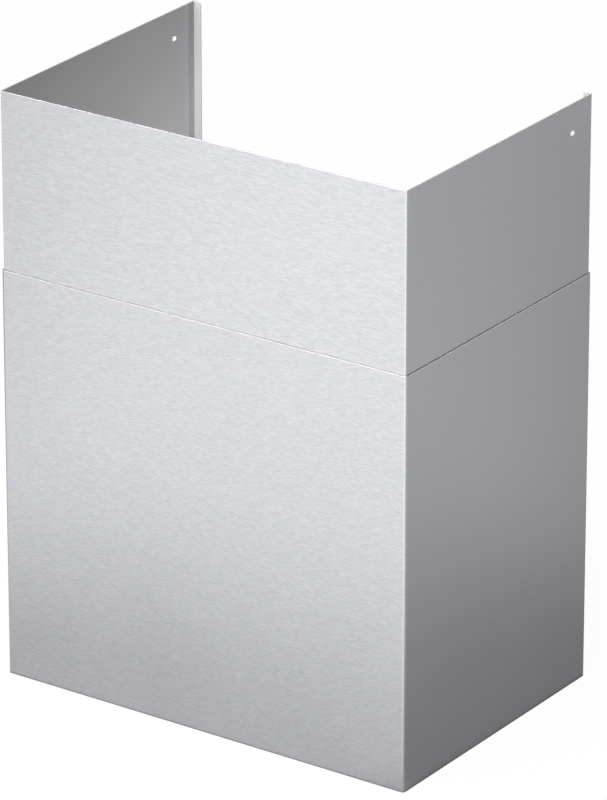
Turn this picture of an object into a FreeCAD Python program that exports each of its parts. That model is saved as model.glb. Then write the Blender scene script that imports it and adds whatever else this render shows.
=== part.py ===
import FreeCAD, Part
import math
import os
from enum import IntEnum

import Sketcher
from FreeCAD import Vector

# Telescopic chimney of a cooker hood. Two sheets of brushed stainless steel are each folded into an
# open-backed channel with a return flange along both rear edges. The lower sleeve stands on the hood.
# The upper sleeve slides inside it and is screwed to the wall through a slot in each side wall.
# The frame is millimetres with +Z up, -Y at the front and the origin under the middle of the lower
# sleeve, on the plane that its bottom edge stands on.

SIZES = [
    ("sheet_thickness", 1.0, "thickness of both sheets"),
    ("slide_gap", 0.8, "running gap between the two sleeves, all the way round"),
    ("lower_width", 500.0, "outside width of the lower sleeve"),
    ("lower_depth", 339.0, "outside depth of the lower sleeve, front face to wall"),
    ("lower_length", 455.0, "height of the lower sleeve"),
    ("upper_length", 455.0, "height of the upper sleeve, with the part hidden in the lower one"),
    ("exposed_length", 195.0, "height of the upper sleeve that stands out of the lower one"),
    ("least_overlap", 40.0, "overlap that is left when the chimney is pulled right out"),
    ("upper_bend_radius", 0.5, "inside radius of the four bends of the upper sleeve"),
    ("upper_flange_width", 10.0, "width of the upper sleeve's return flanges, outside the bend"),
    ("flange_corner_radius", 2.0, "rounding of the free corners of the return flanges"),
    ("slot_height", 5.0, "height of a fixing slot"),
    ("slot_length", 7.0, "length of a fixing slot, front to back"),
    ("slot_drop", 32.0, "from the top edge down to the middle of a fixing slot"),
    ("slot_setback", 36.0, "from the upper sleeve's rear face forward to the middle of a fixing slot"),
]

# Sizes of one sleeve that follow from the other. The lower sleeve wraps the upper one at the same gap
# on every wall, round every bend and at both flange tips.
NESTING = "(Sizes.sheet_thickness + Sizes.slide_gap)"
LOWER = {
    "width": "Sizes.lower_width",
    "depth": "Sizes.lower_depth",
    "length": "Sizes.lower_length",
    "flange": "Sizes.upper_flange_width + " + NESTING,
    "bend": "Sizes.upper_bend_radius + " + NESTING,
}
UPPER = {
    "width": "Sizes.lower_width - 2 * " + NESTING,
    "depth": "Sizes.lower_depth - 2 * " + NESTING,
    "length": "Sizes.upper_length",
    "flange": "Sizes.upper_flange_width",
    "bend": "Sizes.upper_bend_radius",
}
UPPER_FOOT = "Sizes.lower_length + Sizes.exposed_length - Sizes.upper_length"


class Point(IntEnum):
    """How a sketch numbers the points of a line or an arc."""

    START = 1
    END = 2
    CENTRE = 3


class Axis(IntEnum):
    """How a sketch numbers its own two axes."""

    HORIZONTAL = -1
    VERTICAL = -2


ORIGIN_POINT = (Axis.HORIZONTAL, Point.START)


def write_sizes(doc):
    """Put every driving size in the sheet, one named cell to a row."""
    sheet = doc.addObject("Spreadsheet::Sheet", "Sizes")
    for row, (alias, value, meaning) in enumerate(SIZES, start=1):
        sheet.set(f"A{row}", meaning)
        sheet.set(f"B{row}", str(value))
        sheet.setAlias(f"B{row}", alias)
    doc.recompute()
    return sheet


def in_millimetres(sheet, expression):
    """Value of an expression of the sheet's cells, as a plain number."""
    return float(sheet.evalExpression(expression))


def origin_plane(body, role):
    """The body's own origin plane, such as XY_Plane."""
    for feature in body.Origin.OriginFeatures:
        if feature.Role == role:
            return feature
    raise ValueError(f"{body.Label} has no {role}")


def new_sketch(body, name, role):
    """An empty sketch on one of the body's own origin planes."""
    sketch = body.newObject("Sketcher::SketchObject", name)
    sketch.AttachmentSupport = [(origin_plane(body, role), "")]
    sketch.MapMode = "FlatFace"
    return sketch


def bound(sketch, name, constraint, expression):
    """Add a named dimension and tie it to the sheet."""
    index = sketch.addConstraint(constraint)
    sketch.renameConstraint(index, name)
    sketch.setExpression(f"Constraints.{name}", expression)


def outline_corners(width, depth, flange, bend, thickness):
    """Corners of the folded section, anticlockwise, as (x, y, radius). A cut edge has radius 0."""
    side = width / 2
    back = depth / 2
    tip = side - flange
    inner_side = side - thickness
    inner_back = back - thickness
    outside = bend + thickness
    return [
        (-side, back, outside),
        (-side, -back, outside),
        (side, -back, outside),
        (side, back, outside),
        (tip, back, 0),
        (tip, inner_back, 0),
        (inner_side, inner_back, bend),
        (inner_side, -inner_back, bend),
        (-inner_side, -inner_back, bend),
        (-inner_side, inner_back, bend),
        (-tip, inner_back, 0),
        (-tip, back, 0),
    ]


def draw_outline(sketch, corners):
    """Draw the closed outline as runs and bends that meet tangentially; return both lists of ids.

    Run i ends at corner i, and bend i is the arc at that corner, or None at a cut edge.
    """
    count = len(corners)
    points = [Vector(x, y, 0) for x, y, radius in corners]
    ahead = [(points[(i + 1) % count] - points[i]).normalize() for i in range(count)]
    arrive = [points[i] - ahead[i - 1] * corners[i][2] for i in range(count)]
    leave = [points[i] + ahead[i] * corners[i][2] for i in range(count)]

    runs = []
    for i in range(count):
        runs.append(sketch.addGeometry(Part.LineSegment(leave[i - 1], arrive[i])))

    bends = []
    for i, (x, y, radius) in enumerate(corners):
        following = runs[(i + 1) % count]
        if radius == 0:
            bends.append(None)
            sketch.addConstraint(
                Sketcher.Constraint("Coincident", runs[i], Point.END, following, Point.START))
            continue
        centre = arrive[i] + ahead[i] * radius
        turns_left = ahead[i - 1].cross(ahead[i]).z > 0
        first, last = (arrive[i], leave[i]) if turns_left else (leave[i], arrive[i])
        circle = Part.Circle(centre, Vector(0, 0, 1), radius)
        start_angle = math.atan2(first.y - centre.y, first.x - centre.x)
        end_angle = math.atan2(last.y - centre.y, last.x - centre.x)
        bend = sketch.addGeometry(Part.ArcOfCircle(circle, start_angle, end_angle))
        bends.append(bend)
        enter, leave_by = (Point.START, Point.END) if turns_left else (Point.END, Point.START)
        sketch.addConstraint(Sketcher.Constraint("Tangent", runs[i], Point.END, bend, enter))
        sketch.addConstraint(Sketcher.Constraint("Tangent", bend, leave_by, following, Point.START))
    return runs, bends


def folded_section(sheet, body, size):
    """Fully constrained section of a folded channel, seen from above."""
    sketch = new_sketch(body, "FoldedSection", "XY_Plane")
    shape = {key: in_millimetres(sheet, size[key]) for key in ("width", "depth", "flange", "bend")}
    thickness = in_millimetres(sheet, "Sizes.sheet_thickness")
    runs, bends = draw_outline(sketch, outline_corners(thickness=thickness, **shape))

    rear_left, left, front, right, rear_right = runs[:5]
    right_tip, inner_rear_right, inner_right, inner_front = runs[5:9]
    inner_left, inner_rear_left, left_tip = runs[9:]
    outer_bends = bends[:4]
    inner_bends = bends[6:10]

    for run in (rear_left, rear_right, inner_rear_right, inner_front, inner_rear_left):
        sketch.addConstraint(Sketcher.Constraint("Horizontal", run))
    for run in (right, right_tip, inner_right, inner_left, left_tip):
        sketch.addConstraint(Sketcher.Constraint("Vertical", run))
    for group in (outer_bends, inner_bends):
        for bend in group[1:]:
            sketch.addConstraint(Sketcher.Constraint("Equal", group[0], bend))

    # The section is centred on the origin, and both flanges end at the same distance from the middle.
    sketch.addConstraint(
        Sketcher.Constraint("Symmetric", front, Point.START, front, Point.END, Axis.VERTICAL))
    sketch.addConstraint(
        Sketcher.Constraint("Symmetric", left, Point.START, left, Point.END, Axis.HORIZONTAL))
    sketch.addConstraint(
        Sketcher.Constraint("Symmetric", rear_left, Point.START, rear_right, Point.END, Axis.VERTICAL))

    # Two opposite bends share their centres with the inside bends, so the sheet keeps one thickness.
    front_left, rear_right = (outer_bends[1], inner_bends[2]), (outer_bends[3], inner_bends[0])
    for outer, inner in (front_left, rear_right):
        sketch.addConstraint(
            Sketcher.Constraint("Coincident", outer, Point.CENTRE, inner, Point.CENTRE))
    sketch.addConstraint(
        Sketcher.Constraint("Horizontal", inner_rear_left, Point.START, inner_rear_right, Point.START))

    bound(sketch, "width", Sketcher.Constraint(
        "DistanceX", left, Point.START, right, Point.START, shape["width"]), size["width"])
    bound(sketch, "depth", Sketcher.Constraint(
        "DistanceY", front, Point.START, rear_left, Point.END, shape["depth"]), size["depth"])
    bound(sketch, "flange", Sketcher.Constraint(
        "DistanceX", left, Point.START, rear_left, Point.START, shape["flange"]), size["flange"])
    bound(sketch, "inside_bend", Sketcher.Constraint(
        "Radius", inner_bends[0], shape["bend"]), size["bend"])
    bound(sketch, "outside_bend", Sketcher.Constraint(
        "Radius", outer_bends[0], shape["bend"] + thickness), size["bend"] + " + Sizes.sheet_thickness")
    return sketch


def fold_sheet(doc, sheet, label, size):
    """One sheet folded to its section and cut to its length."""
    body = doc.addObject("PartDesign::Body", label)
    body.Label = label
    section = folded_section(sheet, body, size)
    fold = body.newObject("PartDesign::Pad", "FoldedSheet")
    fold.Profile = section
    fold.setExpression("Length", size["length"])
    section.Visibility = False
    doc.recompute()
    return body


def cut_fixing_slots(doc, sheet, body, size):
    """Cut one round-ended slot through both side walls, level with each other."""
    sketch = new_sketch(body, "FixingSlot", "YZ_Plane")
    middle_y = f"({size['depth']}) / 2 - Sizes.slot_setback"
    middle_z = f"{size['length']} - Sizes.slot_drop"
    y = in_millimetres(sheet, middle_y)
    z = in_millimetres(sheet, middle_z)
    radius = in_millimetres(sheet, "Sizes.slot_height / 2")
    half_run = in_millimetres(sheet, "(Sizes.slot_length - Sizes.slot_height) / 2")

    upwards = math.pi / 2
    rear_circle = Part.Circle(Vector(y + half_run, z, 0), Vector(0, 0, 1), radius)
    front_circle = Part.Circle(Vector(y - half_run, z, 0), Vector(0, 0, 1), radius)
    rear_end = sketch.addGeometry(Part.ArcOfCircle(rear_circle, -upwards, upwards))
    front_end = sketch.addGeometry(Part.ArcOfCircle(front_circle, upwards, 3 * upwards))
    top = sketch.addGeometry(Part.LineSegment(
        Vector(y + half_run, z + radius, 0), Vector(y - half_run, z + radius, 0)))
    bottom = sketch.addGeometry(Part.LineSegment(
        Vector(y - half_run, z - radius, 0), Vector(y + half_run, z - radius, 0)))

    sketch.addConstraint(Sketcher.Constraint("Tangent", rear_end, Point.END, top, Point.START))
    sketch.addConstraint(Sketcher.Constraint("Tangent", top, Point.END, front_end, Point.START))
    sketch.addConstraint(Sketcher.Constraint("Tangent", front_end, Point.END, bottom, Point.START))
    sketch.addConstraint(Sketcher.Constraint("Tangent", bottom, Point.END, rear_end, Point.START))
    sketch.addConstraint(Sketcher.Constraint("Equal", rear_end, front_end))
    sketch.addConstraint(Sketcher.Constraint("Horizontal", top))

    bound(sketch, "end_radius", Sketcher.Constraint(
        "Radius", rear_end, radius), "Sizes.slot_height / 2")
    bound(sketch, "run", Sketcher.Constraint(
        "DistanceX", front_end, Point.CENTRE, rear_end, Point.CENTRE, 2 * half_run),
        "Sizes.slot_length - Sizes.slot_height")
    bound(sketch, "rear_centre", Sketcher.Constraint(
        "DistanceX", *ORIGIN_POINT, rear_end, Point.CENTRE, y + half_run),
        f"{middle_y} + (Sizes.slot_length - Sizes.slot_height) / 2")
    bound(sketch, "height", Sketcher.Constraint(
        "DistanceY", *ORIGIN_POINT, rear_end, Point.CENTRE, z), middle_z)

    before = body.Shape.Volume
    slots = body.newObject("PartDesign::Pocket", "FixingSlots")
    slots.Profile = sketch
    slots.Type = "ThroughAll"
    slots.Midplane = True
    sketch.Visibility = False
    doc.recompute()

    slot_area = math.pi * radius ** 2 + 4 * radius * half_run
    expected = 2 * slot_area * in_millimetres(sheet, "Sizes.sheet_thickness")
    removed = before - body.Shape.Volume
    if not math.isclose(removed, expected, rel_tol=1e-3):
        raise ValueError(f"the slots removed {removed:.3f} mm3, not {expected:.3f} mm3")


def round_flange_corners(doc, sheet, body, size):
    """Round the four free corners where the return flanges end, top and bottom."""
    tip = in_millimetres(sheet, f"({size['width']}) / 2 - ({size['flange']})")
    length = in_millimetres(sheet, size["length"])
    tolerance = 1e-4

    names = []
    for number, edge in enumerate(body.Shape.Edges, start=1):
        middle = edge.CenterOfMass - body.Placement.Base
        at_tip = abs(abs(middle.x) - tip) < tolerance
        at_end = min(abs(middle.z), abs(middle.z - length)) < tolerance
        if at_tip and at_end:
            names.append(f"Edge{number}")
    if len(names) != 4:
        raise ValueError(f"{body.Label} has {len(names)} free flange corners, not 4")

    sheet_so_far = body.Tip
    corners = body.newObject("PartDesign::Fillet", "FlangeCorners")
    corners.Base = (sheet_so_far, names)
    corners.setExpression("Radius", "Sizes.flange_corner_radius")
    doc.recompute()


def check_document(doc, bodies):
    """Stop before anything is written if a feature failed or a solid is not sound."""
    for item in doc.Objects:
        for word in ("Invalid", "Error"):
            if word in item.State:
                raise RuntimeError(f"{item.Label} is {word}")
    for body in bodies:
        if body.Shape.isNull() or not body.Shape.isValid():
            raise RuntimeError(f"{body.Label} has no valid shape")
        if len(body.Shape.Solids) != 1:
            raise RuntimeError(f"{body.Label} is {len(body.Shape.Solids)} solids, not one sheet")


def export_parts(bodies):
    """Write one STEP file for each piece and print its size."""
    os.makedirs("parts", exist_ok=True)
    for body in bodies:
        body.Shape.exportStep(f"parts/{body.Label}.step")
        box = body.Shape.BoundBox
        print(
            f"{body.Label}: {box.XLength:.1f} x {box.YLength:.1f} x {box.ZLength:.1f} mm,"
            f" foot at z = {box.ZMin:.1f}, {body.Shape.Volume / 1000:.1f} cm3")


def print_travel(sheet):
    """Print how far the upper sleeve slides from where it stands."""
    down = in_millimetres(sheet, "Sizes.exposed_length")
    up = in_millimetres(
        sheet, "Sizes.upper_length - Sizes.exposed_length - Sizes.least_overlap")
    print(f"upper_sleeve slides {down:.1f} mm down until the tops are level, and {up:.1f} mm up")


doc = FreeCAD.newDocument("CookerHoodChimney")
sheet = write_sizes(doc)

lower = fold_sheet(doc, sheet, "lower_sleeve", LOWER)
round_flange_corners(doc, sheet, lower, LOWER)

upper = fold_sheet(doc, sheet, "upper_sleeve", UPPER)
cut_fixing_slots(doc, sheet, upper, UPPER)
round_flange_corners(doc, sheet, upper, UPPER)
upper.setExpression("Placement.Base.z", UPPER_FOOT)
doc.recompute()

sleeves = [lower, upper]
check_document(doc, sleeves)
export_parts(sleeves)
print_travel(sheet)
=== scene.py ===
# %% [markdown]
# # A folded steel chimney for a cooker hood
# The real object is two sheets of brushed stainless steel, each folded into a channel that is open at
# the back. The upper channel slides inside the lower one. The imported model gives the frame: where each
# sleeve stands and how it moves. This lesson dresses that frame with rounded bends, clean cut edges and
# a brushed finish. The first cell loads the frame and keeps its box, to compare with at the end.

# %% Load the frame
import math

import bmesh
import bpy
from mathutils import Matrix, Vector


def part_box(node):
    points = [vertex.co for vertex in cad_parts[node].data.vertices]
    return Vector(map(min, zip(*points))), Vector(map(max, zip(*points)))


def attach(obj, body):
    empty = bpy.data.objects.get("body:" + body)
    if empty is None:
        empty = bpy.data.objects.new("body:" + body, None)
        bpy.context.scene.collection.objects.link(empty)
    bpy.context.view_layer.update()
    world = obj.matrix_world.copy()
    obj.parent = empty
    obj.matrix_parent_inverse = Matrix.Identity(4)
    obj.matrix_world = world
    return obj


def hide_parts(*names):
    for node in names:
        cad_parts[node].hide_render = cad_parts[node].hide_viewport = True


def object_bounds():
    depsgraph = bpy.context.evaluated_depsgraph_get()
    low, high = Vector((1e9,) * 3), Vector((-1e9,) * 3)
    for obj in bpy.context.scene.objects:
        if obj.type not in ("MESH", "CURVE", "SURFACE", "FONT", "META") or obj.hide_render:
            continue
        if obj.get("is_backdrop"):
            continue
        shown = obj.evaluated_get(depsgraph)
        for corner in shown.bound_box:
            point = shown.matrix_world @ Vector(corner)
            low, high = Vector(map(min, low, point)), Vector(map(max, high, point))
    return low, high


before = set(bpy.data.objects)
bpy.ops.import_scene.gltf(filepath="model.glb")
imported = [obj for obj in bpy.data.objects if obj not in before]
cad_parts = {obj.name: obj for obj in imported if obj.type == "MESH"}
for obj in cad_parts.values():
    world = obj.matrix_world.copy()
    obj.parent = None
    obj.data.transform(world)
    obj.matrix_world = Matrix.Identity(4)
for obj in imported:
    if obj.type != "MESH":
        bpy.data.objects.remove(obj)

frame_low, frame_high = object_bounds()
print("frame box in mm:", [round(1000 * side, 1) for side in frame_high - frame_low])

# %% [markdown]
# ## The sizes of the sheets
# Blender works in metres, so a millimetre gets a name of its own. The outside of each sleeve is read
# from the frame when it is modelled. Written here are the sheet's thickness, the bends, the return
# flanges at the back and the two fixing slots, and the measures that the finishes follow.

# %% Sizes that both sleeves share
MM = 0.001
SHEET = 1.0 * MM
FLANGE_CORNER = 2.0 * MM
FOLD_STEPS = 10
CUT_EDGE_ROUNDING = 0.3 * MM

# %% Sizes of each sleeve
LOWER = {"half_width": 250.0 * MM, "half_depth": 169.5 * MM, "top": 455.0 * MM,
         "flange": 11.8 * MM, "outside_bend": 3.3 * MM}
UPPER = {"half_width": 248.2 * MM, "half_depth": 167.7 * MM, "top": 650.0 * MM,
         "flange": 10.0 * MM, "outside_bend": 1.5 * MM}
SLOT = {"height": 5.0 * MM, "length": 7.0 * MM, "drop": 32.0 * MM, "setback": 36.0 * MM}
for name, size in (("lower", LOWER), ("upper", UPPER), ("slot", SLOT)):
    print(name, {key: round(value / MM, 2) for key, value in size.items()}, "mm")

# %% [markdown]
# ## Small tools for node materials
# A node material is a drawing of boxes and wires. One helper adds a box and sets its sockets, and one
# adds a ramp, the box that this lesson uses most. Two more start a group and place it. A group is a
# drawing with named sockets that several materials can use.

# %% Helpers for nodes
def add_node(tree, kind, settings=None, **sockets):
    """Add a node, set its properties and the values of its input sockets, and return it."""
    node = tree.nodes.new(kind)
    for key, value in (settings or {}).items():
        setattr(node, key, value)
    for key, value in sockets.items():
        node.inputs[key.replace("_", " ")].default_value = value
    return node


def add_ramp(tree, start, end, first=0.0, last=1.0, smooth=False):
    """Add a ramp that runs from the first tone to the last between two values."""
    settings = {"interpolation_type": "SMOOTHSTEP"} if smooth else None
    return add_node(tree, "ShaderNodeMapRange", settings,
                    From_Min=start, From_Max=end, To_Min=first, To_Max=last)


def start_group(name, inputs, outputs):
    """Start a shader node group with named float inputs and outputs; return it with both ends."""
    group = bpy.data.node_groups.new(name, "ShaderNodeTree")
    for label, value in inputs:
        socket = group.interface.new_socket(label, in_out="INPUT", socket_type="NodeSocketFloat")
        socket.default_value = value
    for label in outputs:
        group.interface.new_socket(label, in_out="OUTPUT", socket_type="NodeSocketFloat")
    return group, group.nodes.new("NodeGroupInput"), group.nodes.new("NodeGroupOutput")


def place_group(tree, group, **sockets):
    """Place a group in a material, with its own values."""
    node = tree.nodes.new("ShaderNodeGroup")
    node.node_tree = group
    for key, value in sockets.items():
        node.inputs[key.replace("_", " ")].default_value = value
    return node


# %% [markdown]
# ## The brushed grain
# The sheet was drawn under an abrasive belt, which left level scratches. From a distance they show as
# short pale and dark dashes, a millimetre high and about a centimetre long. From close by there are
# finer hairlines between them. Both are noise that is squeezed in height and stretched along the wall.
# The same stretch in X and Y makes the grain run level on all three walls and round the bends.

# %% Group: brushed grain
grain, grain_in, grain_out = start_group(
    "brushed_grain", [("Dash share", 0.6)], ["Tone", "Height"])
place = add_node(grain, "ShaderNodeTexCoord")
dash_stretch = add_node(grain, "ShaderNodeMapping", Scale=(140, 140, 1200))
dashes = add_node(grain, "ShaderNodeTexNoise", Scale=1.0, Detail=2.0, Roughness=0.55)
hair_stretch = add_node(grain, "ShaderNodeMapping", Scale=(30, 30, 3600))
hairlines = add_node(grain, "ShaderNodeTexNoise", Scale=1.0, Detail=3.0, Roughness=0.6)
blend = add_node(grain, "ShaderNodeMix", {"data_type": "FLOAT"})
grain.links.new(place.outputs["Object"], dash_stretch.inputs["Vector"])
grain.links.new(dash_stretch.outputs["Vector"], dashes.inputs["Vector"])
grain.links.new(place.outputs["Object"], hair_stretch.inputs["Vector"])
grain.links.new(hair_stretch.outputs["Vector"], hairlines.inputs["Vector"])
grain.links.new(grain_in.outputs["Dash share"], blend.inputs["Factor"])
grain.links.new(hairlines.outputs["Fac"], blend.inputs["A"])
grain.links.new(dashes.outputs["Fac"], blend.inputs["B"])
contrast = add_node(grain, "ShaderNodeMapRange", From_Min=0.34, From_Max=0.66)
grain.links.new(blend.outputs["Result"], contrast.inputs["Value"])
grain.links.new(contrast.outputs["Result"], grain_out.inputs["Tone"])
grain.links.new(blend.outputs["Result"], grain_out.inputs["Height"])
print("group", grain.name, "has", len(grain.nodes), "nodes")

# %% [markdown]
# ## Slow changes of tone
# Even a new sheet isn't the same all over: the belt pressed harder here than there, and hands have
# touched it. A large soft noise stands for that. It is weak, and it mostly changes how dull the steel is.

# %% Group: slow variation
cloud, cloud_in, cloud_out = start_group("slow_variation", [("Patch scale", 7.0)], ["Mask"])
cloud_place = add_node(cloud, "ShaderNodeTexCoord")
patches = add_node(cloud, "ShaderNodeTexNoise", Detail=3.0, Roughness=0.5)
soften = add_node(cloud, "ShaderNodeMapRange", From_Min=0.3, From_Max=0.7)
cloud.links.new(cloud_place.outputs["Object"], patches.inputs["Vector"])
cloud.links.new(cloud_in.outputs["Patch scale"], patches.inputs["Scale"])
cloud.links.new(patches.outputs["Fac"], soften.inputs["Value"])
cloud.links.new(soften.outputs["Result"], cloud_out.inputs["Mask"])
print("group", cloud.name, "has", len(cloud.nodes), "nodes")

# %% [markdown]
# ## Burnished folds
# Where the sheet was pressed over the bar, and wherever a cloth or a hand meets a corner first, the
# grain is a little polished. The mask is 1 at a fold and 0 on the walls. It is the product of two
# ramps, one on the distance from the middle in X and one in Y, so it needs the sleeve's half width and
# half depth.

# %% Group: burnished fold
fold_wear, wear_in, wear_out = start_group(
    "burnished_fold", [("Half width", 0.25), ("Half depth", 0.17), ("Reach", 0.004)], ["Mask"])
wear_place = add_node(fold_wear, "ShaderNodeTexCoord")
wear_axes = add_node(fold_wear, "ShaderNodeSeparateXYZ")
fold_wear.links.new(wear_place.outputs["Object"], wear_axes.inputs["Vector"])
ramps = []
for axis, half in (("X", "Half width"), ("Y", "Half depth")):
    distance = add_node(fold_wear, "ShaderNodeMath", {"operation": "ABSOLUTE"})
    start = add_node(fold_wear, "ShaderNodeMath", {"operation": "SUBTRACT"})
    ramp = add_node(fold_wear, "ShaderNodeMapRange", {"interpolation_type": "SMOOTHSTEP"})
    fold_wear.links.new(wear_axes.outputs[axis], distance.inputs[0])
    fold_wear.links.new(wear_in.outputs[half], start.inputs[0])
    fold_wear.links.new(wear_in.outputs["Reach"], start.inputs[1])
    fold_wear.links.new(distance.outputs["Value"], ramp.inputs["Value"])
    fold_wear.links.new(start.outputs["Value"], ramp.inputs["From Min"])
    fold_wear.links.new(wear_in.outputs[half], ramp.inputs["From Max"])
    ramps.append(ramp)
both = add_node(fold_wear, "ShaderNodeMath", {"operation": "MULTIPLY"})
fold_wear.links.new(ramps[0].outputs["Result"], both.inputs[0])
fold_wear.links.new(ramps[1].outputs["Result"], both.inputs[1])
fold_wear.links.new(both.outputs["Value"], wear_out.inputs["Mask"])
print("group", fold_wear.name, "has", len(fold_wear.nodes), "nodes")

# %% [markdown]
# ## The brushed steel
# Steel has no colour of its own beyond a cool grey, so nearly everything that shows is a reflection.
# Level scratches spread a reflection up and down much more than sideways: that is anisotropy, turned a
# quarter so that it spreads across the grain. The grain moves the base colour, and a very low bump
# tilts the surface so that each dash meets the light at its own angle. The slow changes move the
# roughness. On the side walls, which mirror a dimmer part of the room, the grain hardly shows. So its
# contrast follows the way that the wall faces: full on the front, weak on the sides.

# %% Contrast of the grain
EVEN_TONE = 0.5
SIDE_CONTRAST = 0.3


def fade_grain_on_sides(tree, scratches):
    """Return a node whose result is the grain's tone, weakened on the side walls."""
    facing = add_node(tree, "ShaderNodeTexCoord")
    axes = add_node(tree, "ShaderNodeSeparateXYZ")
    frontness = add_node(tree, "ShaderNodeMath", {"operation": "ABSOLUTE"})
    depth = add_ramp(tree, 0.0, 1.0, SIDE_CONTRAST, 1.0)
    contrast = add_node(tree, "ShaderNodeMix", {"data_type": "FLOAT"})
    contrast.inputs["A"].default_value = EVEN_TONE
    tree.links.new(facing.outputs["Normal"], axes.inputs["Vector"])
    tree.links.new(axes.outputs["Y"], frontness.inputs[0])
    tree.links.new(frontness.outputs["Value"], depth.inputs["Value"])
    tree.links.new(depth.outputs["Result"], contrast.inputs["Factor"])
    tree.links.new(scratches.outputs["Tone"], contrast.inputs["B"])
    return contrast


# %% Material: brushed steel
POLISHED = (0.86, 0.87, 0.89, 1)
FOLD_REACH = 3.5 * MM
GRAIN_DEPTH = 0.05 * MM


def brushed_steel(name, pale, dark, size):
    """Brushed stainless steel for the outside of one sleeve."""
    material = bpy.data.materials.new(name)
    material.use_nodes = True
    tree = material.node_tree
    steel = tree.nodes["Principled BSDF"]
    steel.inputs["Metallic"].default_value = 1.0
    steel.inputs["Anisotropic"].default_value = 0.6
    steel.inputs["Anisotropic Rotation"].default_value = 0.25
    scratches = place_group(tree, grain, Dash_share=0.7)
    changes = place_group(tree, cloud, Patch_scale=6.0)
    fold = place_group(tree, fold_wear, Half_width=size["half_width"], Half_depth=size["half_depth"],
                       Reach=FOLD_REACH)
    contrast = fade_grain_on_sides(tree, scratches)

    colour = add_node(tree, "ShaderNodeMix", {"data_type": "RGBA"})
    colour.inputs["A"].default_value = (*dark, 1)
    colour.inputs["B"].default_value = (*pale, 1)
    polished = add_node(tree, "ShaderNodeMix", {"data_type": "RGBA"})
    polished.inputs["B"].default_value = POLISHED
    tree.links.new(contrast.outputs["Result"], colour.inputs["Factor"])
    tree.links.new(fold.outputs["Mask"], polished.inputs["Factor"])
    tree.links.new(colour.outputs["Result"], polished.inputs["A"])
    tree.links.new(polished.outputs["Result"], steel.inputs["Base Color"])

    dullness = add_ramp(tree, 0.0, 1.0, 0.30, 0.35)
    tree.links.new(changes.outputs["Mask"], dullness.inputs["Value"])
    tree.links.new(dullness.outputs["Result"], steel.inputs["Roughness"])
    relief = add_node(tree, "ShaderNodeBump", Strength=0.35, Distance=GRAIN_DEPTH)
    tree.links.new(scratches.outputs["Height"], relief.inputs["Height"])
    tree.links.new(relief.outputs["Normal"], steel.inputs["Normal"])
    print("material", name, "base colour from", dark, "to", pale)
    return material


lower_brushed = brushed_steel("lower_brushed_steel", (0.837, 0.845, 0.880), (0.663, 0.669, 0.695), LOWER)
upper_brushed = brushed_steel("upper_brushed_steel", (0.842, 0.850, 0.885), (0.668, 0.674, 0.700), UPPER)

# %% [markdown]
# ## The mill face inside
# Only the outside of the sheet is brushed. The inside keeps the dull rolled face that the steel came with
# from the mill. The return flange scatters light instead of mirroring it, and its colour is painted
# paler, a painted light for its lit front face. A band of painted shade on the wall beside it stands for
# the flange's dark reflection there. More painted shade darkens the wall towards the top and, less,
# towards the front. All of these are ramps on the sleeve's own coordinates.

# %% Masks and painted shade of the mill face
BAND_WIDTH = 10.8 * MM
SHADE_REACH = 140.0 * MM


def flange_masks(tree, axes, rear):
    """Return two masks: one is 1 on the return flange, the other also on the band beside it."""
    on_flange = add_ramp(tree, rear - 0.6 * MM, rear - 0.1 * MM)
    # The second mask is the band beside the flange that is painted darker, a painted shade for the
    # flange's dark reflection in the wall.
    beside_flange = add_ramp(tree, rear - BAND_WIDTH - 0.4 * MM, rear - BAND_WIDTH + 0.4 * MM)
    for mask in (on_flange, beside_flange):
        tree.links.new(axes.outputs["Y"], mask.inputs["Value"])
    return on_flange, beside_flange


def painted_top_front_shade(tree, axes, half_depth, top):
    """Return a node whose value is 1 on the bare wall and lower where shade is painted, towards the top
    and the front.
    """
    # Painted shade: the wall is darker towards the top and, less, towards the front.
    to_top = add_ramp(tree, top - SHADE_REACH, top, 1.0, 0.68)
    to_front = add_ramp(tree, -half_depth, 0.5 * half_depth, 0.86, 1.0)
    painted_shade = add_node(tree, "ShaderNodeMath", {"operation": "MULTIPLY"})
    tree.links.new(axes.outputs["Z"], to_top.inputs["Value"])
    tree.links.new(axes.outputs["Y"], to_front.inputs["Value"])
    tree.links.new(to_top.outputs["Result"], painted_shade.inputs[0])
    tree.links.new(to_front.outputs["Result"], painted_shade.inputs[1])
    return painted_shade


# %% Colour of the mill face
MILL_DARK, MILL_PALE = (0.785, 0.790, 0.805, 1), (0.825, 0.830, 0.845, 1)
# The band's grey is a painted shade beside the flange, for the flange's dark reflection in the wall.
BAND_SHADE_GREY, FLANGE_PAINTED_PALE = (0.54, 0.545, 0.56, 1), (0.94, 0.945, 0.96, 1)


def mill_colour(tree, changes, on_flange, beside_flange, painted_shade):
    """Return a node whose result is the wall's grey, the painted-shade band's grey or the painted-pale
    flange's grey, darkened by the painted shade.
    """
    wall = add_node(tree, "ShaderNodeMix", {"data_type": "RGBA"})
    wall.inputs["A"].default_value = MILL_DARK
    wall.inputs["B"].default_value = MILL_PALE
    band = add_node(tree, "ShaderNodeMix", {"data_type": "RGBA"})
    band.inputs["B"].default_value = BAND_SHADE_GREY
    flange = add_node(tree, "ShaderNodeMix", {"data_type": "RGBA"})
    # The flange's pale grey is painted light, for its lit front face.
    flange.inputs["B"].default_value = FLANGE_PAINTED_PALE
    shaded_colour = add_node(tree, "ShaderNodeMix", {"data_type": "RGBA", "blend_type": "MULTIPLY"}, Factor=1.0)
    tree.links.new(changes.outputs["Mask"], wall.inputs["Factor"])
    tree.links.new(wall.outputs["Result"], band.inputs["A"])
    tree.links.new(beside_flange.outputs["Result"], band.inputs["Factor"])
    tree.links.new(band.outputs["Result"], flange.inputs["A"])
    tree.links.new(on_flange.outputs["Result"], flange.inputs["Factor"])
    tree.links.new(flange.outputs["Result"], shaded_colour.inputs["A"])
    tree.links.new(painted_shade.outputs["Value"], shaded_colour.inputs["B"])
    return shaded_colour


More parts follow.
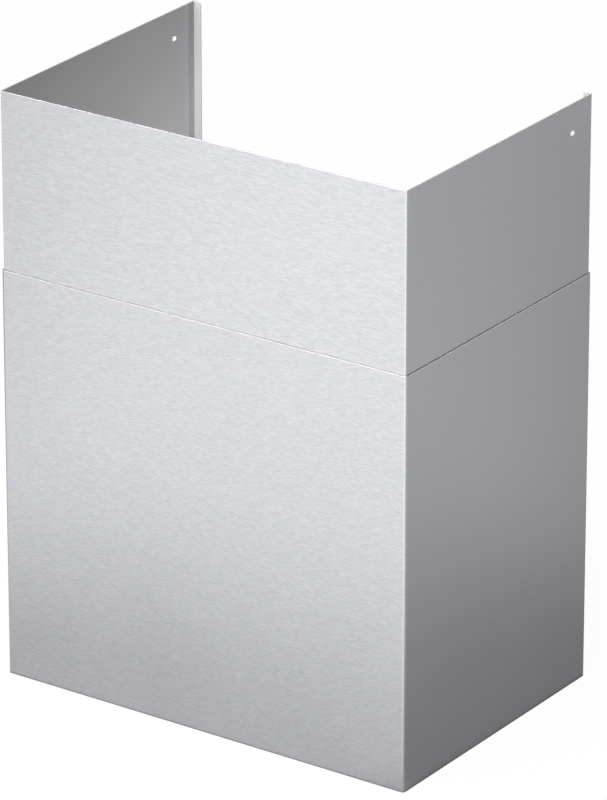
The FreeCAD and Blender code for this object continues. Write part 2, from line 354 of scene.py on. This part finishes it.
# %% Material: mill face
def mill_steel(name, size):
    """Plain rolled steel for the inside of a sleeve, with its flange and the band beside it."""
    material = bpy.data.materials.new(name)
    material.use_nodes = True
    tree = material.node_tree
    steel = tree.nodes["Principled BSDF"]
    steel.inputs["Anisotropic"].default_value = 0.25
    steel.inputs["Anisotropic Rotation"].default_value = 0.25
    rolled = place_group(tree, grain, Dash_share=0.25)
    changes = place_group(tree, cloud, Patch_scale=11.0)
    place = add_node(tree, "ShaderNodeTexCoord")
    axes = add_node(tree, "ShaderNodeSeparateXYZ")
    tree.links.new(place.outputs["Object"], axes.inputs["Vector"])

    rear = size["half_depth"] - SHEET
    on_flange, beside_flange = flange_masks(tree, axes, rear)
    painted_shade = painted_top_front_shade(tree, axes, size["half_depth"], size["top"])
    shaded_colour = mill_colour(tree, changes, on_flange, beside_flange, painted_shade)
    tree.links.new(shaded_colour.outputs["Result"], steel.inputs["Base Color"])

    metal = add_ramp(tree, 0.0, 1.0, 0.9, 0.1)
    dullness = add_ramp(tree, 0.0, 1.0, 0.30, 0.36)
    relief = add_node(tree, "ShaderNodeBump", Strength=0.15, Distance=GRAIN_DEPTH)
    tree.links.new(on_flange.outputs["Result"], metal.inputs["Value"])
    tree.links.new(metal.outputs["Result"], steel.inputs["Metallic"])
    tree.links.new(rolled.outputs["Tone"], dullness.inputs["Value"])
    tree.links.new(dullness.outputs["Result"], steel.inputs["Roughness"])
    tree.links.new(rolled.outputs["Height"], relief.inputs["Height"])
    tree.links.new(relief.outputs["Normal"], steel.inputs["Normal"])
    print("material", name, "has its flange from", round(rear / MM, 2), "mm behind the middle")
    return material


lower_mill = mill_steel("lower_mill_steel", LOWER)
upper_mill = mill_steel("upper_mill_steel", UPPER)

# %% [markdown]
# ## The cut edges
# A shear bends the sheet a little before it parts, and leaves a bright rolled rim. So the small rounding
# is the palest finish on the part and draws the bright line along each edge. The flat of a top edge is
# painted dark, a painted shade that at the seam draws the thin grey line of the gap's shadow above the
# bright one. A mask on the way the surface faces tells the two apart.

# %% Material: cut edge
SHEAR_DEPTH = 0.04 * MM
cut_edge = bpy.data.materials.new("cut_edge_steel")
cut_edge.use_nodes = True
tree = cut_edge.node_tree
steel = tree.nodes["Principled BSDF"]
steel.inputs["Metallic"].default_value = 1.0
place = add_node(tree, "ShaderNodeTexCoord")
shear_stretch = add_node(tree, "ShaderNodeMapping", Scale=(900, 900, 900))
shear_marks = add_node(tree, "ShaderNodeTexNoise", Scale=1.0, Detail=2.0)
colour = add_node(tree, "ShaderNodeMix", {"data_type": "RGBA"})
colour.inputs["A"].default_value = (0.88, 0.885, 0.90, 1)
colour.inputs["B"].default_value = (0.96, 0.965, 0.97, 1)
dullness = add_ramp(tree, 0.0, 1.0, 0.32, 0.44)
relief = add_node(tree, "ShaderNodeBump", Strength=0.2, Distance=SHEAR_DEPTH)
tree.links.new(place.outputs["Object"], shear_stretch.inputs["Vector"])
tree.links.new(shear_stretch.outputs["Vector"], shear_marks.inputs["Vector"])
tree.links.new(shear_marks.outputs["Fac"], colour.inputs["Factor"])

# %% Material: painted shade on the flat of the top edges
facing = add_node(tree, "ShaderNodeSeparateXYZ")
gap_shade_mask = add_ramp(tree, 0.84, 0.97)
face_colour = add_node(tree, "ShaderNodeMix", {"data_type": "RGBA"})
# Painted shade: the flat of a top edge is dark grey, for the shadow in the gap at the seam.
face_colour.inputs["B"].default_value = (0.40, 0.405, 0.41, 1)
tree.links.new(place.outputs["Normal"], facing.inputs["Vector"])
tree.links.new(facing.outputs["Z"], gap_shade_mask.inputs["Value"])
tree.links.new(gap_shade_mask.outputs["Result"], face_colour.inputs["Factor"])
tree.links.new(colour.outputs["Result"], face_colour.inputs["A"])
tree.links.new(face_colour.outputs["Result"], steel.inputs["Base Color"])
tree.links.new(shear_marks.outputs["Fac"], dullness.inputs["Value"])
tree.links.new(dullness.outputs["Result"], steel.inputs["Roughness"])
tree.links.new(shear_marks.outputs["Fac"], relief.inputs["Height"])
tree.links.new(relief.outputs["Normal"], steel.inputs["Normal"])
print("material", cut_edge.name, "has", len(tree.nodes), "nodes")

# %% [markdown]
# ## Choosing parts of a mesh in code
# Every modelling tool acts on what is selected. By hand that is a click, and in a script it is a
# question that each face, edge or corner answers with yes or no, mostly by where it is. These two
# helpers start a new piece with nothing else selected, and select what a question names.

# %% Helpers for modelling by hand in code
TOUCH = 0.01 * MM


def deselect_all():
    """Leave edit mode and deselect every object, the frame's own among them."""
    if bpy.context.mode != "OBJECT":
        bpy.ops.object.mode_set(mode="OBJECT")
    bpy.ops.object.select_all(action="DESELECT")


def choose(kind, question):
    """In edit mode, select the faces, edges or vertices that answer yes; return how many did."""
    bpy.ops.mesh.select_all(action="DESELECT")
    bpy.ops.mesh.select_mode(type=kind)
    mesh = bmesh.from_edit_mesh(bpy.context.edit_object.data)
    parts = {"FACE": mesh.faces, "EDGE": mesh.edges, "VERT": mesh.verts}[kind]
    chosen = [part for part in parts if question(part)]
    for part in chosen:
        part.select_set(True)
    bmesh.update_edit_mesh(bpy.context.edit_object.data)
    return len(chosen)


def is_upright(edge):
    """True for an edge that runs straight up."""
    start, end = (vertex.co for vertex in edge.verts)
    return abs(start.x - end.x) < TOUCH and abs(start.y - end.y) < TOUCH


# %% [markdown]
# ## Folding a channel
# On the bench the sheet is cut, and then pressed over a bar once for each bend. The same order works
# here. A box gives the three walls, its top, bottom and back are taken off, and the two free edges are
# extruded into return flanges. The bends are then a bevel of the four fold edges, with as many steps as
# a smooth highlight needs. The skin has no thickness yet, so every bend is made once, not twice.

# %% Three walls and two return flanges
def fold_channel(name, node, size, finishes):
    """Model the outside skin of one sleeve over its frame node, with its finishes in their slots."""
    low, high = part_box(node)
    deselect_all()
    bpy.ops.mesh.primitive_cube_add(size=1, location=(low + high) / 2, scale=high - low)
    sleeve = bpy.context.object
    sleeve.name = name
    for finish in finishes:
        sleeve.data.materials.append(finish)
    bpy.ops.object.transform_apply(location=True, rotation=True, scale=True)

    bpy.ops.object.mode_set(mode="EDIT")
    choose("FACE", lambda face: abs(face.normal.z) > 0.5 or face.normal.y > 0.5)
    bpy.ops.mesh.delete(type="FACE")
    for side in (-1, 1):
        choose("EDGE", lambda edge: is_upright(edge) and edge.verts[0].co.y > 0
               and edge.verts[0].co.x * side > 0)
        inwards = (-side * size["flange"], 0, 0)
        bpy.ops.mesh.extrude_edges_move(TRANSFORM_OT_translate={"value": inwards})
    return sleeve


# %% Bends and rounded flange corners
def round_folds(size, half_width):
    """Bevel the four folds to their outside radius, and round the flanges' four free corners."""
    folds = choose("EDGE", lambda edge: is_upright(edge)
                   and abs(abs(edge.verts[0].co.x) - half_width) < TOUCH)
    bpy.ops.mesh.bevel(offset=size["outside_bend"], segments=FOLD_STEPS, profile=0.5, affect="EDGES")
    tip = half_width - size["flange"]
    corners = choose("VERT", lambda vertex: abs(abs(vertex.co.x) - tip) < TOUCH)
    bpy.ops.mesh.bevel(offset=FLANGE_CORNER, segments=6, profile=0.5, affect="VERTICES")
    bpy.ops.mesh.select_all(action="SELECT")
    bpy.ops.mesh.normals_make_consistent(inside=False)
    bpy.ops.object.mode_set(mode="OBJECT")
    print("folds bevelled:", folds, " flange corners rounded:", corners)


# %% [markdown]
# ## From a skin to a sheet
# Solidify grows the skin inwards by one sheet. Even thickness keeps the inside of each bend concentric
# with its outside, as in real folded steel. The same modifier tells the surfaces apart: the inside gets
# the next material, and the cut edges all round get the one after that.

# %% Give the skin its thickness
BRUSHED_FACE, MILL_FACE, CUT_EDGE = 0, 1, 2


def thicken(sleeve):
    """Turn the skin into a sheet, with the brushed face outside and the mill face inside."""
    front = min(sleeve.data.polygons, key=lambda face: face.center.y)
    if front.normal.y > 0:
        sleeve.data.flip_normals()
    sheet = sleeve.modifiers.new("sheet", "SOLIDIFY")
    sheet.thickness = SHEET
    sheet.offset = -1
    sheet.use_even_offset = True
    sheet.material_offset = MILL_FACE
    sheet.material_offset_rim = CUT_EDGE
    bpy.ops.object.modifier_apply(modifier=sheet.name)
    print(sleeve.name, "is a sheet with", len(sleeve.data.polygons), "faces")


# %% [markdown]
# ## The fixing slots
# The upper sleeve is screwed to a bracket on the wall through one slot in each side. A slot is punched,
# so it is a plain hole with round ends. One long cutter goes through both walls: a cylinder whose rear
# half is moved back. A Boolean then takes the cutter away from the sheet.

# %% Punch both slots
def punch_slots(sleeve):
    """Cut a round-ended slot through both side walls, near the top at the back."""
    low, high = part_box("upper_sleeve")
    middle = Vector((0, high.y - SLOT["setback"], high.z - SLOT["drop"]))
    run = SLOT["length"] - SLOT["height"]
    deselect_all()
    bpy.ops.mesh.primitive_cylinder_add(
        vertices=40, radius=SLOT["height"] / 2, depth=1.2 * (high.x - low.x),
        location=middle - Vector((0, run / 2, 0)), rotation=(0, math.pi / 2, 0))
    cutter = bpy.context.object
    bpy.ops.object.transform_apply(location=True, rotation=True, scale=True)
    bpy.ops.object.mode_set(mode="EDIT")
    choose("VERT", lambda vertex: vertex.co.y > middle.y - run / 2 + 0.1 * MM)
    bpy.ops.transform.translate(value=(0, run, 0))
    bpy.ops.object.mode_set(mode="OBJECT")

    deselect_all()
    bpy.context.view_layer.objects.active = sleeve
    punch = sleeve.modifiers.new("punch", "BOOLEAN")
    punch.operation = "DIFFERENCE"
    punch.object = cutter
    bpy.ops.object.modifier_apply(modifier=punch.name)
    bpy.data.objects.remove(cutter)
    return middle


# %% Mark the punched walls as cut edges
def mark_punched_walls(sleeve, middle):
    """Give the walls of the slots the cut-edge material."""
    reach = 0.6 * SLOT["length"]
    punched = 0
    for face in sleeve.data.polygons:
        offset = face.center - middle
        if abs(face.normal.x) < 0.5 and abs(offset.y) < reach and abs(offset.z) < reach:
            face.material_index = CUT_EDGE
            punched += 1
    print("slot walls marked as cut edges:", punched, "faces")


# %% [markdown]
# ## Edges that catch the light
# No real cut edge is a knife. A small rounding all along it gives the thin bright line that shows where
# one sheet ends. The bevel takes only sharp corners, so the folds stay as they are. Weighted normals
# then keep the big walls flat in the shading, and let only the small faces turn.

# %% Round the cut edges and set the shading
def finish_edges(sleeve):
    """Bevel every cut edge a little, and shade the flat walls flat and the bends smooth."""
    deselect_all()
    sleeve.select_set(True)
    bpy.context.view_layer.objects.active = sleeve
    bpy.ops.object.shade_smooth_by_angle(angle=math.radians(40))
    rounding = sleeve.modifiers.new("rounding", "BEVEL")
    rounding.width = CUT_EDGE_ROUNDING
    rounding.segments = 3
    rounding.limit_method = "ANGLE"
    rounding.angle_limit = math.radians(50)
    rounding.material = CUT_EDGE
    bpy.ops.object.modifier_apply(modifier=rounding.name)
    flat_walls = sleeve.modifiers.new("flat_walls", "WEIGHTED_NORMAL")
    flat_walls.weight = 100
    flat_walls.keep_sharp = True
    bpy.ops.object.modifier_apply(modifier=flat_walls.name)
    print(sleeve.name, "measures", [round(side / MM, 2) for side in sleeve.dimensions], "mm")
    counts = [sum(face.material_index == i for face in sleeve.data.polygons) for i in range(3)]
    print("faces: brushed", counts[0], " mill", counts[1], " cut", counts[2])


# %% Make the lower sleeve
low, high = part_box("lower_sleeve")
lower_sheet = fold_channel("lower_sheet", "lower_sleeve", LOWER, (lower_brushed, lower_mill, cut_edge))
round_folds(LOWER, (high.x - low.x) / 2)
thicken(lower_sheet)
finish_edges(lower_sheet)

# %% Make the upper sleeve
low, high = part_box("upper_sleeve")
upper_sheet = fold_channel("upper_sheet", "upper_sleeve", UPPER, (upper_brushed, upper_mill, cut_edge))
round_folds(UPPER, (high.x - low.x) / 2)
thicken(upper_sheet)
slot_middle = punch_slots(upper_sheet)
mark_punched_walls(upper_sheet, slot_middle)
finish_edges(upper_sheet)

# %% [markdown]
# ## Let the pieces ride
# Each sheet stands for its frame node and moves with that node's body, so the upper sheet slides when the
# frame says so.

# %% Put each sheet on its body
for sheet, node, finish in ((lower_sheet, "lower_sleeve", "lower_steel"),
                            (upper_sheet, "upper_sleeve", "upper_steel")):
    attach(sheet, node)
    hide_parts(node)
    print(sheet.name, "stands for", node)

# %% [markdown]
# ## The studio floor
# The floor is plain and pale. To the camera it is white and keeps a faint shadow of the object. So a
# small share of it is an ordinary matt surface, and the rest is a white glow for camera, glossy and
# transmission rays. Steel mirrors the floor, and a studio floor isn't equally bright all over. What the
# walls mirror of it gives them their tones, so its glow for glossy rays is drawn with ramps on the
# floor's own coordinates. The bright side is at the front, a little to the left. One ramp direction
# goes towards it and the other goes across.

# %% Floor object
deselect_all()
bpy.ops.mesh.primitive_plane_add(size=40, location=(0, 0, -0.0002))
floor = bpy.context.object
floor.name = "studio_floor"
bpy.ops.object.transform_apply(location=True, rotation=True, scale=True)
floor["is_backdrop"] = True

# %% Two directions on the floor
BRIGHT_SIDE = Vector((-0.57, -0.82, 0))
paper = bpy.data.materials.new("studio_paper")
paper.use_nodes = True
tree = paper.node_tree
tree.nodes.remove(tree.nodes["Principled BSDF"])
output = tree.nodes["Material Output"]
place = add_node(tree, "ShaderNodeTexCoord")
towards_bright = add_node(tree, "ShaderNodeVectorMath", {"operation": "DOT_PRODUCT"})
towards_bright.inputs[1].default_value = BRIGHT_SIDE
across_bright = add_node(tree, "ShaderNodeVectorMath", {"operation": "DOT_PRODUCT"})
across_bright.inputs[1].default_value = (-BRIGHT_SIDE.y, BRIGHT_SIDE.x, 0)
for direction in (towards_bright, across_bright):
    tree.links.new(place.outputs["Object"], direction.inputs[0])
print("the bright side of the floor is towards", [round(part, 2) for part in BRIGHT_SIDE])

# %% [markdown]
# ## The floor's far tones
# In front of the part the floor is bright on the right and falls off to the left, so the brushed front
# is palest near the fold. Behind and beside the part the floor is dim, with a darker strip in line with
# the object. The side wall mirrors that half.

# %% Floor: tones in front and behind
STRIP_MIDDLE = -0.035
in_front = add_ramp(tree, -0.05, 0.07, smooth=True)
front_tone = add_ramp(tree, -0.65, 0.09, 0.32, 0.97, smooth=True)
rear_tone = add_ramp(tree, 0.0, 0.29, 0.235, 0.455, smooth=True)
from_strip = add_node(tree, "ShaderNodeMath", {"operation": "ADD"})
from_strip.inputs[1].default_value = -STRIP_MIDDLE
strip_distance = add_node(tree, "ShaderNodeMath", {"operation": "ABSOLUTE"})
level = add_node(tree, "ShaderNodeMix", {"data_type": "FLOAT"})
tree.links.new(towards_bright.outputs["Value"], in_front.inputs["Value"])
tree.links.new(across_bright.outputs["Value"], front_tone.inputs["Value"])
tree.links.new(across_bright.outputs["Value"], from_strip.inputs[0])
tree.links.new(from_strip.outputs["Value"], strip_distance.inputs[0])
tree.links.new(strip_distance.outputs["Value"], rear_tone.inputs["Value"])
tree.links.new(in_front.outputs["Result"], level.inputs["Factor"])
tree.links.new(rear_tone.outputs["Result"], level.inputs["A"])
tree.links.new(front_tone.outputs["Result"], level.inputs["B"])
print("the darkest strip behind is", round(-STRIP_MIDDLE / MM), "mm to the left of the middle")

# %% [markdown]
# ## The floor's tones near the part
# Round the foot of the part the floor lies in its shade, so the walls grow darker towards the bottom.
# The distance from the foot is the length of what is left of the position after the part's half width
# and half depth are taken away. Right at the foot a line of contact shade, a few millimetres wide, is
# darker still.

# %% Floor: distance from the foot
unsigned = add_node(tree, "ShaderNodeVectorMath", {"operation": "ABSOLUTE"})
beyond = add_node(tree, "ShaderNodeVectorMath", {"operation": "SUBTRACT"})
beyond.inputs[1].default_value = (LOWER["half_width"], LOWER["half_depth"], 1.0)
outside = add_node(tree, "ShaderNodeVectorMath", {"operation": "MAXIMUM"})
outside.inputs[1].default_value = (0, 0, 0)
from_foot = add_node(tree, "ShaderNodeVectorMath", {"operation": "LENGTH"})
tree.links.new(place.outputs["Object"], unsigned.inputs[0])
tree.links.new(unsigned.outputs["Vector"], beyond.inputs[0])
tree.links.new(beyond.outputs["Vector"], outside.inputs[0])
tree.links.new(outside.outputs["Vector"], from_foot.inputs[0])
print("the foot reaches", [round(side / MM, 1) for side in beyond.inputs[1].default_value[:2]], "mm out")

# %% Floor: shade round the foot
away = add_ramp(tree, 0.13, 0.57, smooth=True)
foot_tone = add_ramp(tree, 0.0, 1.0, 0.165, 0.44)
contact = add_ramp(tree, 1.5 * MM, 3.0 * MM, 0.1, 1.0)
whole = add_node(tree, "ShaderNodeMix", {"data_type": "FLOAT"})
mirrored = add_node(tree, "ShaderNodeMath", {"operation": "MULTIPLY"})
tree.links.new(from_foot.outputs["Value"], away.inputs["Value"])
tree.links.new(from_foot.outputs["Value"], contact.inputs["Value"])
tree.links.new(in_front.outputs["Result"], foot_tone.inputs["Value"])
tree.links.new(away.outputs["Result"], whole.inputs["Factor"])
tree.links.new(foot_tone.outputs["Result"], whole.inputs["A"])
tree.links.new(level.outputs["Result"], whole.inputs["B"])
tree.links.new(whole.outputs["Result"], mirrored.inputs[0])
tree.links.new(contact.outputs["Result"], mirrored.inputs[1])

# %% [markdown]
# ## What each kind of ray sees of the floor
# A camera ray finds white paper. A mirrored ray finds the tones above. Every other ray finds a matt
# surface, which carries the soft light on.

# %% Floor: one tone for each kind of ray
WHITE = (1, 1, 1, 1)
GLOW_SHARE = 0.95
rays = add_node(tree, "ShaderNodeLightPath")
tone = add_node(tree, "ShaderNodeMix", {"data_type": "RGBA"})
tone.inputs["B"].default_value = WHITE
glow = add_node(tree, "ShaderNodeEmission", Strength=1.0)
matt = add_node(tree, "ShaderNodeBsdfDiffuse", Color=(0.94, 0.94, 0.94, 1))
seen = add_node(tree, "ShaderNodeMath", {"operation": "MAXIMUM"})
seen_or_through = add_node(tree, "ShaderNodeMath", {"operation": "MAXIMUM"})
share = add_node(tree, "ShaderNodeMath", {"operation": "MULTIPLY"})
share.inputs[1].default_value = GLOW_SHARE
mix = add_node(tree, "ShaderNodeMixShader")
tree.links.new(rays.outputs["Is Camera Ray"], tone.inputs["Factor"])
tree.links.new(mirrored.outputs["Value"], tone.inputs["A"])
tree.links.new(tone.outputs["Result"], glow.inputs["Color"])
tree.links.new(rays.outputs["Is Camera Ray"], seen.inputs[0])
tree.links.new(rays.outputs["Is Glossy Ray"], seen.inputs[1])
tree.links.new(seen.outputs["Value"], seen_or_through.inputs[0])
tree.links.new(rays.outputs["Is Transmission Ray"], seen_or_through.inputs[1])
tree.links.new(seen_or_through.outputs["Value"], share.inputs[0])
tree.links.new(share.outputs["Value"], mix.inputs["Fac"])
tree.links.new(matt.outputs["BSDF"], mix.inputs[1])
tree.links.new(glow.outputs["Emission"], mix.inputs[2])
tree.links.new(mix.outputs["Shader"], output.inputs["Surface"])
floor.data.materials.append(paper)
print("floor is", [round(side) for side in floor.dimensions], "m")

# %% [markdown]
# ## The world round the studio
# Above the horizon the steel mirrors the room: pale on the bright side, dimmer behind, and dimmer
# towards the ceiling. The camera sees plain white there. Both are ramps on the ray's own direction, one
# on its dot product with the bright side and one on its height.

# %% World
world = bpy.data.worlds.new("studio_room")
bpy.context.scene.world = world
world.use_nodes = True
tree = world.node_tree
background = tree.nodes["Background"]
direction = add_node(tree, "ShaderNodeTexCoord")
towards_bright = add_node(tree, "ShaderNodeVectorMath", {"operation": "DOT_PRODUCT"})
towards_bright.inputs[1].default_value = BRIGHT_SIDE
wall_level = add_ramp(tree, -1.0, 1.0, 0.48, 1.0)
height = add_node(tree, "ShaderNodeSeparateXYZ")
ceiling = add_ramp(tree, 0.3, 0.9, 1.0, 0.5)
room_level = add_node(tree, "ShaderNodeMath", {"operation": "MULTIPLY"})
rays = add_node(tree, "ShaderNodeLightPath")
tone = add_node(tree, "ShaderNodeMix", {"data_type": "RGBA"})
tone.inputs["B"].default_value = WHITE
tree.links.new(direction.outputs["Generated"], towards_bright.inputs[0])
tree.links.new(towards_bright.outputs["Value"], wall_level.inputs["Value"])
tree.links.new(direction.outputs["Generated"], height.inputs["Vector"])
tree.links.new(height.outputs["Z"], ceiling.inputs["Value"])
tree.links.new(wall_level.outputs["Result"], room_level.inputs[0])
tree.links.new(ceiling.outputs["Result"], room_level.inputs[1])
tree.links.new(room_level.outputs["Value"], tone.inputs["A"])
tree.links.new(rays.outputs["Is Camera Ray"], tone.inputs["Factor"])
tree.links.new(tone.outputs["Result"], background.inputs["Color"])
background.inputs["Strength"].default_value = 1.0
print("world", world.name, "has", len(tree.nodes), "nodes")

# %% [markdown]
# ## Soft lamps
# A large soft lamp stands high in front, and a weaker one hangs above. They are wide, so the shadow has
# no hard line. Two small rim lamps, one at the front left and one at the rear right, only draw the
# bright lines along the rounded edges.

# %% Lamps
AIM = Vector((0, 0, 0.33))


def soft_lamp(name, size, place, power):
    """A square area lamp that looks at the object."""
    lamp = bpy.data.lights.new(name, "AREA")
    lamp.shape = "SQUARE"
    lamp.size = size
    lamp.energy = power
    holder = bpy.data.objects.new(name, lamp)
    bpy.context.scene.collection.objects.link(holder)
    holder.location = place
    holder.rotation_euler = (AIM - Vector(place)).to_track_quat("-Z", "Y").to_euler()
    print(name, "is", size, "m wide at", place, "with", power, "W")


soft_lamp("key_lamp", 2.4, (0.3, -2.6, 2.5), 100)
soft_lamp("top_lamp", 1.4, (-0.2, -0.2, 3.0), 10)
soft_lamp("left_rim_lamp", 0.8, (-1.7, -2.4, 2.6), 28)
soft_lamp("rear_rim_lamp", 0.8, (1.7, 2.4, 2.6), 9)

# %% [markdown]
# ## The camera
# The photograph looks down on the front right corner from far away with a long lens, so the walls
# hardly narrow. The place, the turn and the lens come from a fit to the photograph's corners. The lens
# is given for the long side of the frame. A small shift moves the frame along the object, as the
# picture was cropped.

# %% Camera
camera_data = bpy.data.cameras.new("photo_camera")
camera_data.lens = 292.15
camera_data.sensor_width = 36.0
camera_data.shift_y = -0.12
camera_data.clip_end = 100
camera = bpy.data.objects.new("photo_camera", camera_data)
bpy.context.scene.collection.objects.link(camera)
camera.location = (3.52711, -5.06151, 2.91676)
camera.rotation_euler = (math.radians(67.9545), 0, math.radians(34.8016))
bpy.context.scene.camera = camera
print("camera stands", round(camera.location.length, 2), "m from the origin")

# %% [markdown]
# ## The picture's tones
# The standard view keeps each colour as it is written in the materials.

# %% View
bpy.context.scene.view_settings.view_transform = "Standard"
print("view transform:", bpy.context.scene.view_settings.view_transform)

# %% [markdown]
# ## Compare the sizes and finish
# The dressed part has to fill the frame's box and no more, so the largest difference between the two
# boxes is printed.

# %% Sizes
dressed_low, dressed_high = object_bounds()
sides = zip((*frame_low, *frame_high), (*dressed_low, *dressed_high))
largest = max(abs(framed - dressed) for framed, dressed in sides)
print("frame and dressed box differ by at most", round(largest / MM, 3), "mm")
